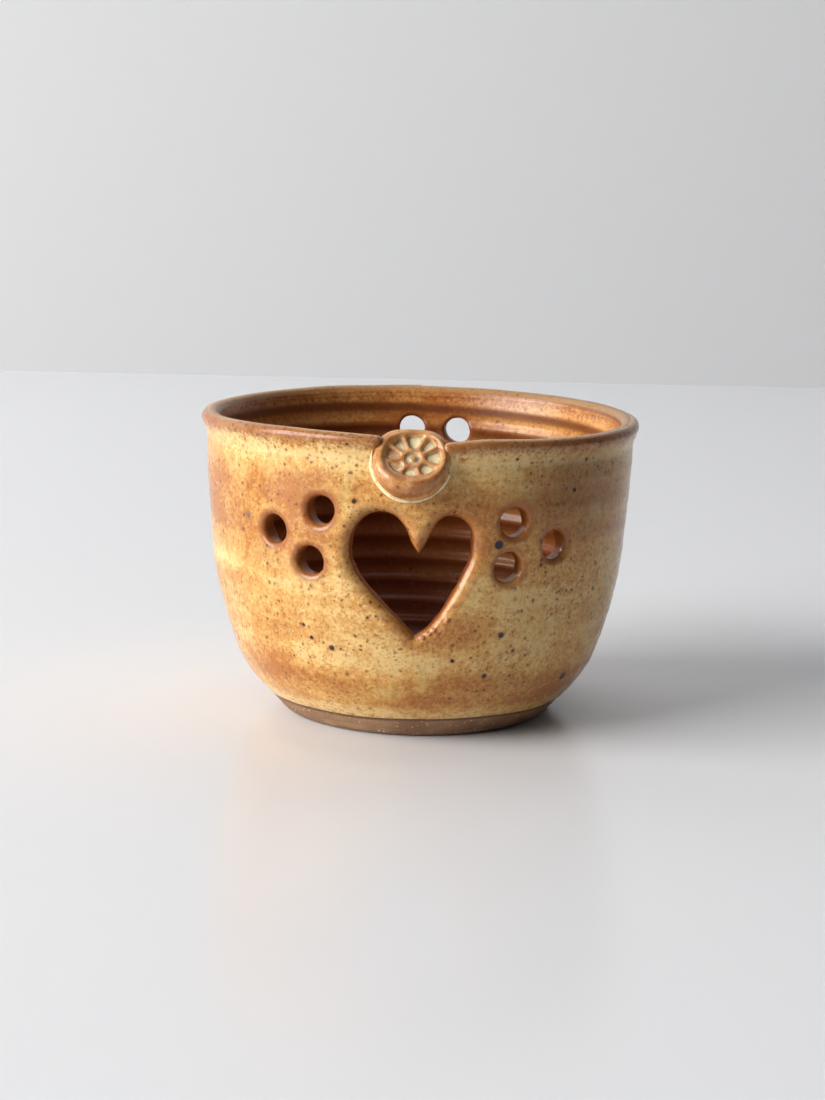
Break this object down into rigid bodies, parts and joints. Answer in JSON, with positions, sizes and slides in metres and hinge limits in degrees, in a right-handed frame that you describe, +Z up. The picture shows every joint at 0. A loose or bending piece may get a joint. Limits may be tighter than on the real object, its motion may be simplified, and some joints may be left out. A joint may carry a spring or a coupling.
{
  "type": "yarn bowl",
  "caption": "Thrown, glazed stoneware yarn bowl with a heart-shaped opening, round needle holes through the wall and a flower-stamped button on the rim.",
  "frame": {"origin": "centre of the flat underside of the foot", "axes": "+Z up the bowl's axis; the heart and the button face -Y; +X to the right seen from the front"},
  "size_m": [0.1408, 0.1479, 0.0987],
  "materials": {
    "bare_clay": "matte",
    "honey_glaze": "satin gloss",
    "liner_glaze": "satin gloss",
    "button_glaze": "satin",
    "pale_slip": "satin gloss"
  },
  "bodies": {
    "root": {"clay_body": "bare_clay", "glaze_outside": "honey_glaze", "glaze_inside": "liner_glaze", "stamped_button": "button_glaze", "slip_seam": "pale_slip"}
  },
  "joints": []
}
